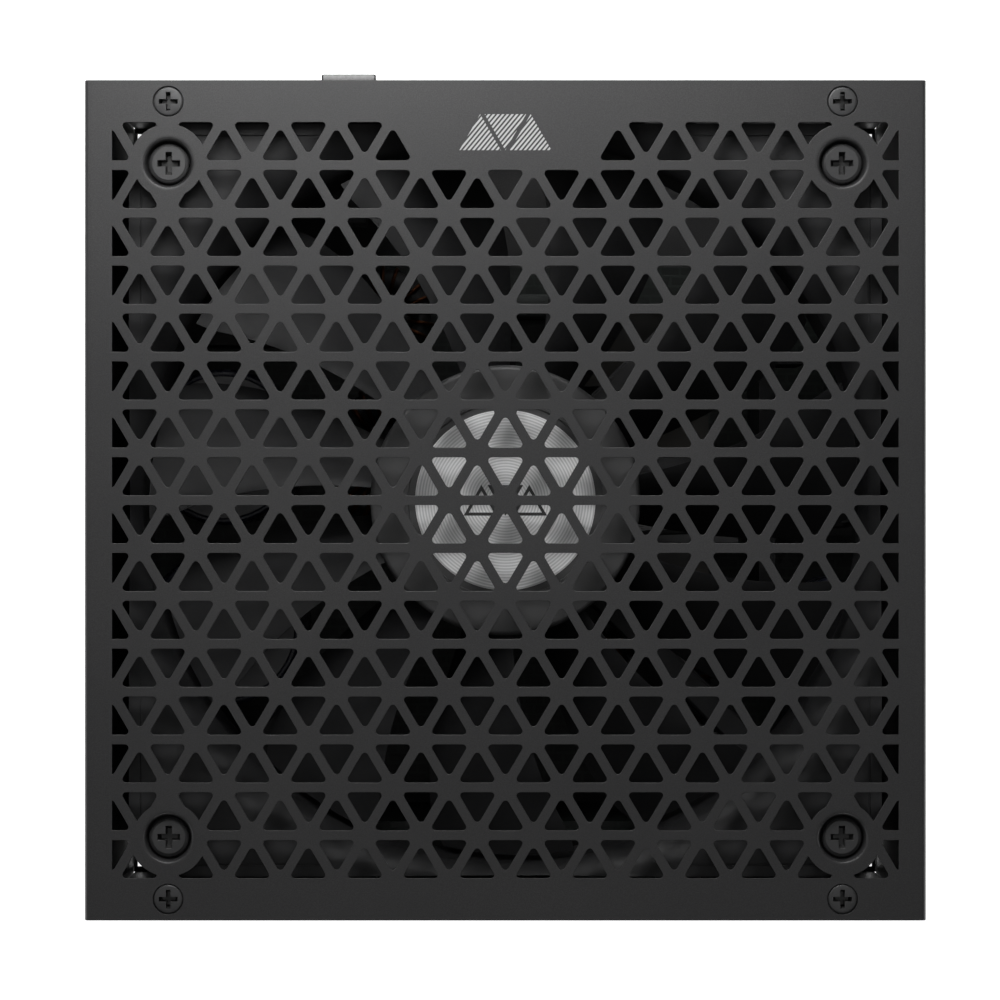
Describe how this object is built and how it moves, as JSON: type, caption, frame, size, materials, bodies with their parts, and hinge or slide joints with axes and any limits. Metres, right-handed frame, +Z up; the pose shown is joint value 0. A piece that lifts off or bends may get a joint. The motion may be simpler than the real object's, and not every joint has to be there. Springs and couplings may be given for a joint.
{
  "type": "desktop computer power supply unit",
  "caption": "Square box power supply in black steel with a triangle-pierced fan cover, a large hubbed fan, a mains inlet with rocker switch and output sockets.",
  "frame": {"origin": "centre of the casing's bottom face, straight below the fan shaft", "axes": "+Z up through the fan face, +Y towards the rear panel with the mains inlet, +X to the right seen from above with the rear panel at the top"},
  "size_m": [0.15, 0.1563, 0.086],
  "materials": {
    "coated_steel": "fine matt powder coat",
    "black_screw": "black oxide",
    "fan_plastic": "satin",
    "label_foil": "satin foil",
    "bright_steel": "bright",
    "bronze": "sintered",
    "copper": "enamelled wire",
    "magnet": "matt",
    "board": "solder mask",
    "socket_plastic": "moulded",
    "wire_sleeve": "matt",
    "pin_metal": "tin plate",
    "aluminium": "black anodised",
    "cap_sleeve": "shrink sleeve",
    "film_case": "moulded",
    "ferrite": "matt",
    "coil_tape": "tape",
    "glass": "clear",
    "polyester": "film"
  },
  "bodies": {
    "casing": {"ac_inlet": "socket_plastic", "base_shell": "coated_steel", "board_screw_1": "bright_steel", "board_screw_2": "bright_steel", "board_screw_3": "bright_steel", "board_screw_4": "bright_steel", "bridge_rectifier": "ferrite", "bulk_capacitor_1": "cap_sleeve", "bulk_capacitor_2": "cap_sleeve", "common_mode_choke": "copper", "control_board": "board", "cover_screw_1": "black_screw", "cover_screw_2": "black_screw", "cover_screw_3": "black_screw", "cover_screw_4": "black_screw", "fan_bearing": "bronze", "fan_circuit_board": "board", "fan_cover": "coated_steel", "fan_frame": "fan_plastic", "fan_lead": "wire_sleeve", "fan_plug": "polyester", "fan_screw_1": "black_screw", "fan_screw_2": "black_screw", "fan_screw_3": "black_screw", "fan_screw_4": "black_screw", "fan_stator": "copper", "inlet_pin_earth": "pin_metal", "inlet_pin_line": "pin_metal", "inlet_pin_neutral": "pin_metal", "insulation_sheet": "polyester", "main_board": "board", "mains_filter_capacitor": "film_case", "mains_fuse": "glass", "output_board": "board", "output_capacitor_1": "cap_sleeve", "output_capacitor_2": "cap_sleeve", "output_capacitor_3": "cap_sleeve", "output_inductor": "copper", "pfc_choke": "copper", "primary_heatsink": "aluminium", "secondary_heatsink": "aluminium", "socket_eight_1": "socket_plastic", "socket_eight_2": "socket_plastic", "socket_eight_3": "socket_plastic", "socket_eight_4": "socket_plastic", "socket_main_10": "socket_plastic", "socket_main_18": "socket_plastic", "socket_six_1": "socket_plastic", "socket_six_2": "socket_plastic", "socket_six_3": "socket_plastic", "standby_transformer": "coil_tape", "switch_housing": "socket_plastic", "transformer_core": "ferrite", "transformer_winding": "coil_tape"},
    "rotor": {"fan_impeller": "fan_plastic", "hub_label": "label_foil", "fan_shaft": "bright_steel", "rotor_magnet": "magnet"},
    "rocker": {"switch_rocker": "socket_plastic"}
  },
  "joints": [
    {"name": "fan_spin", "type": "hinge", "parent": "casing", "child": "rotor", "pos_m": [0, 0, 0.0704], "axis": [0, 0, 1], "continuous": true},
    {"name": "switch_rock", "type": "hinge", "parent": "casing", "child": "rocker", "pos_m": [-0.0298, 0.0746, 0.03], "axis": [1, 0, 0], "range_deg": [0, 24]}
  ]
}
